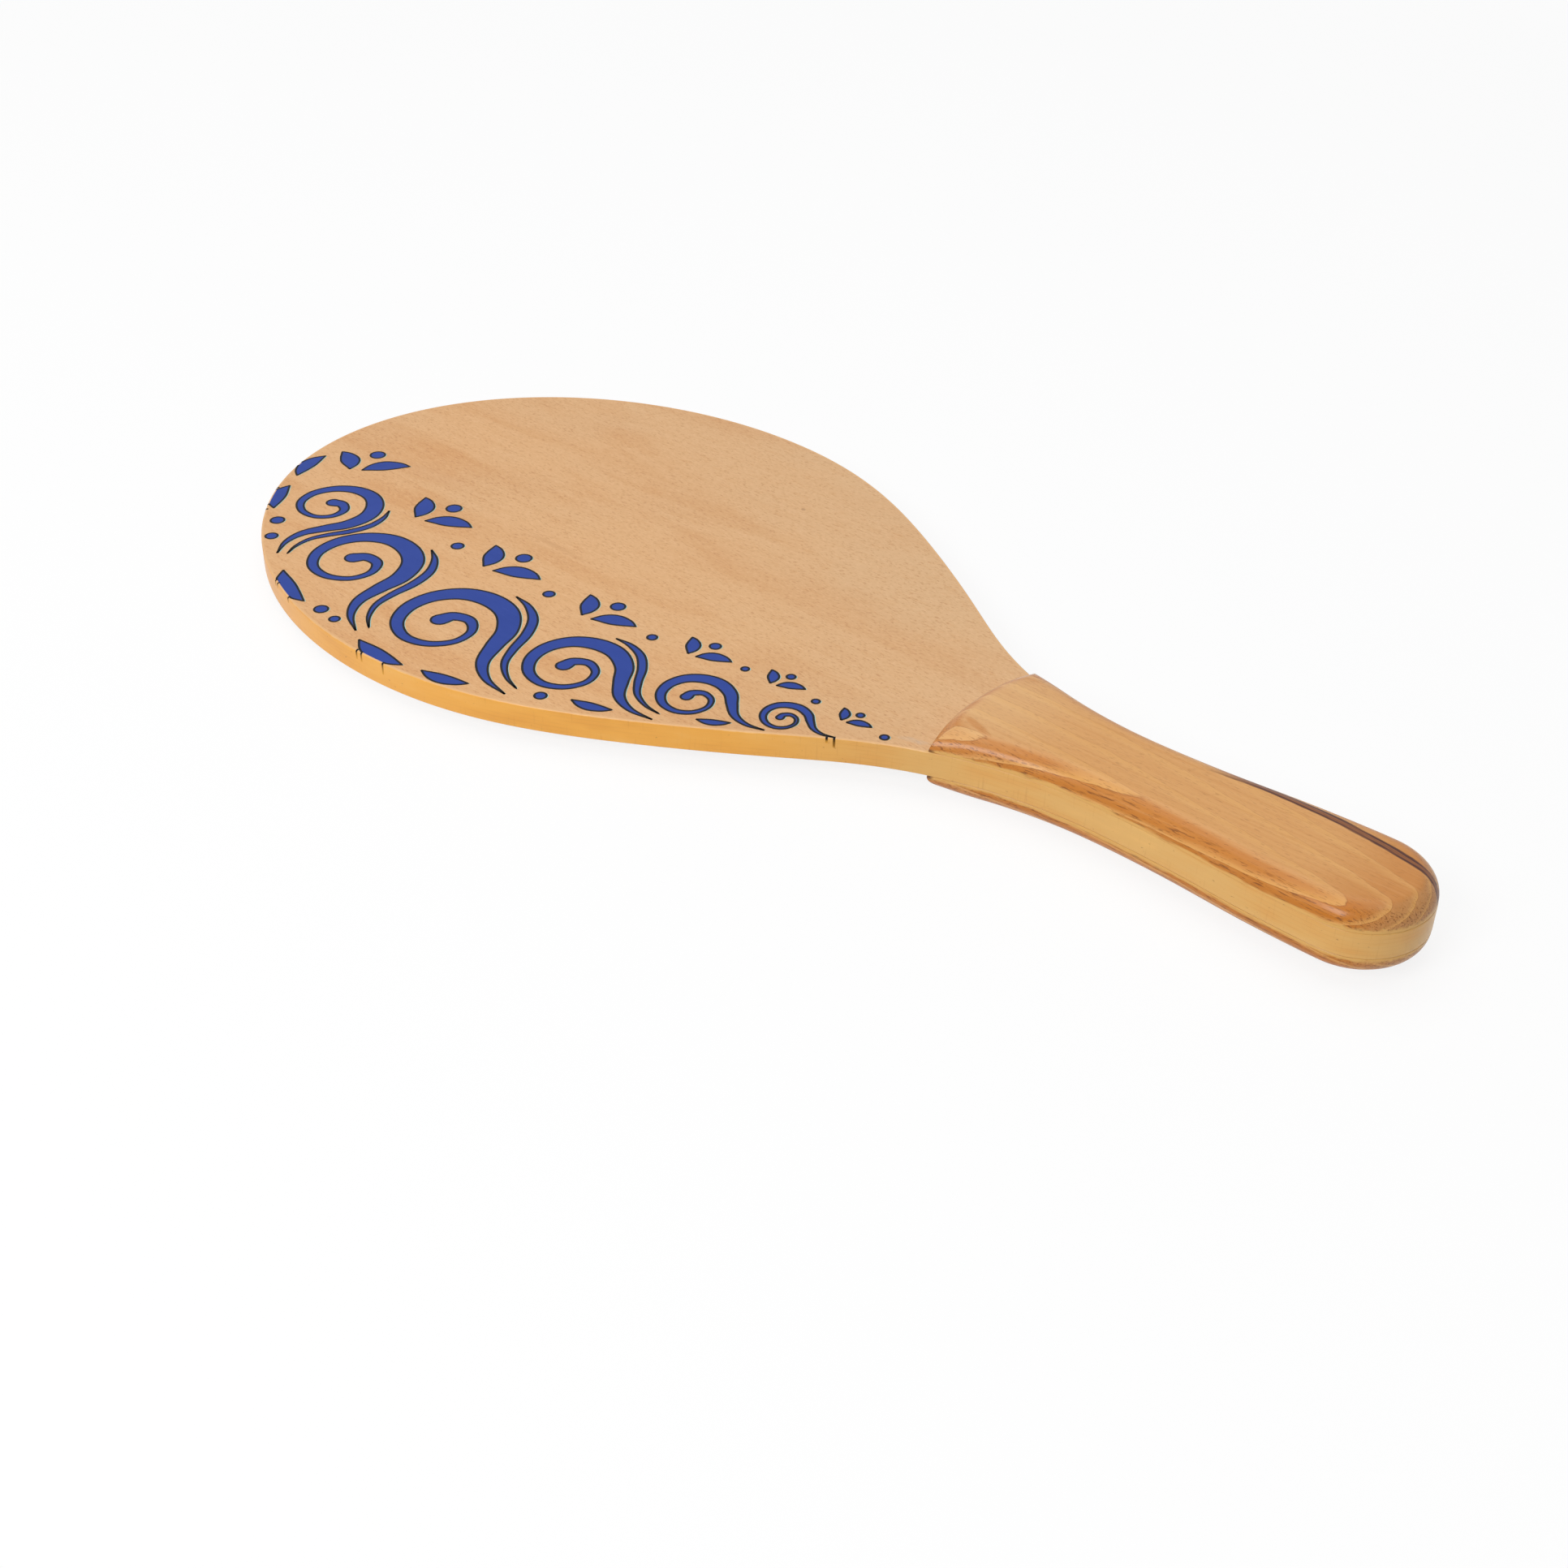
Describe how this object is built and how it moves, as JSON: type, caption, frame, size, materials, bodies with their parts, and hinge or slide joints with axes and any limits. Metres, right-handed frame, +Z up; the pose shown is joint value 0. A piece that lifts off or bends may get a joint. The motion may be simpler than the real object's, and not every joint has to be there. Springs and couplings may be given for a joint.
{
  "type": "frescobol racket",
  "caption": "Wooden beach racket: an egg-shaped plywood blade whose tang runs through a waisted grip with rounded wooden scales.",
  "frame": {"origin": "middle of the racket's length and width, at the flat of the back handle scale", "axes": "+X from the blade's tip to the butt, +Y across, +Z up out of the printed front face"},
  "size_m": [0.463, 0.217, 0.024],
  "materials": {
    "face_veneer": "pale beech under satin lacquer",
    "inner_veneer": "hardwood veneer, sawn and sanded edge",
    "handle_beech": "steamed beech under satin lacquer",
    "edge_lacquer": "thick cream-gold lacquer on the rim",
    "print_blue": "screen-printed ink, slightly raised",
    "print_black": "screen-printed ink, slightly raised",
    "print_white": "screen-printed underbase"
  },
  "bodies": {
    "root": {"front_face_ply": "face_veneer", "front_cross_ply": "inner_veneer", "front_long_ply": "inner_veneer", "middle_cross_ply": "inner_veneer", "back_long_ply": "inner_veneer", "back_cross_ply": "inner_veneer", "back_face_ply": "face_veneer", "front_handle_scale": "handle_beech", "back_handle_scale": "handle_beech"}
  },
  "joints": []
}
